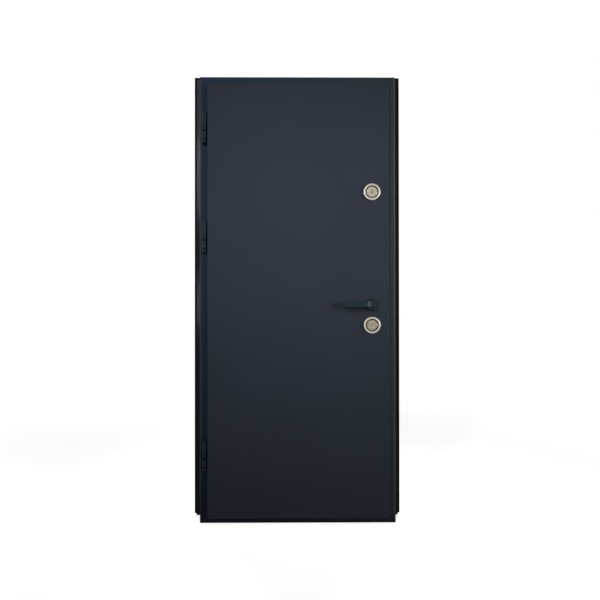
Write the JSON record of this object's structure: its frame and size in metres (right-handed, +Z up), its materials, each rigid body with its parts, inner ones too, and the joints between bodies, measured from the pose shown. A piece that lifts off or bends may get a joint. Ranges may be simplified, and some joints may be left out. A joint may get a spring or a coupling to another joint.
{
  "type": "steel door block",
  "caption": "Hinged steel door leaf in a folded steel frame with rear flange, lever handle and round lock escutcheons.",
  "frame": {"origin": "middle of the flat underside of the sill, half-way across the frame and half-way through its depth", "axes": "+X to the right as seen from the outside, +Y through the door away from the viewer, +Z up"},
  "size_m": [0.96, 0.18, 2.052],
  "materials": {
    "leaf_paint": "fine-textured satin powder coat",
    "frame_paint": "satin powder coat",
    "hinge_paint": "satin powder coat",
    "seal": "matt",
    "lock_steel": "zinc-plated",
    "nickel": "satin nickel",
    "lever_paint": "satin lacquer on cast metal",
    "spindle_steel": "plain"
  },
  "bodies": {
    "frame": {"bottom_hinge_pintle": "hinge_paint", "frame_seal": "seal", "head": "frame_paint", "hinge_jamb": "frame_paint", "lock_jamb": "frame_paint", "lower_strike": "lock_steel", "middle_hinge_pintle": "hinge_paint", "sill": "frame_paint", "top_hinge_pintle": "hinge_paint", "upper_strike": "lock_steel"},
    "leaf": {"bottom_hinge_knuckle": "hinge_paint", "latch_bolt": "lock_steel", "leaf_inner_sheet": "leaf_paint", "leaf_outer_sheet": "leaf_paint", "lower_bolts": "lock_steel", "lower_escutcheon_inside": "nickel", "lower_escutcheon_outside": "nickel", "lower_keyway_inside": "nickel", "lower_keyway_outside": "nickel", "lower_lock": "lock_steel", "middle_hinge_knuckle": "hinge_paint", "rosette_inside": "lever_paint", "rosette_outside": "lever_paint", "top_hinge_knuckle": "hinge_paint", "upper_bolts": "lock_steel", "upper_escutcheon_inside": "nickel", "upper_escutcheon_outside": "nickel", "upper_keyway_inside": "nickel", "upper_keyway_outside": "nickel", "upper_lock": "lock_steel"},
    "lever": {"lever_inside": "lever_paint", "lever_outside": "lever_paint", "spindle": "spindle_steel"}
  },
  "joints": [
    {"name": "leaf_swing", "type": "hinge", "parent": "frame", "child": "leaf", "pos_m": [-0.42, -0.066, 1.29], "axis": [0, 0, -1], "range_deg": [0, 180]},
    {"name": "lever_turn", "type": "hinge", "parent": "leaf", "child": "lever", "pos_m": [0.3315, -0.074, 0.983], "axis": [0, -1, 0], "range_deg": [0, 45], "stiffness_Nm_per_rad": 1.5, "springref_deg": -20.05}
  ]
}
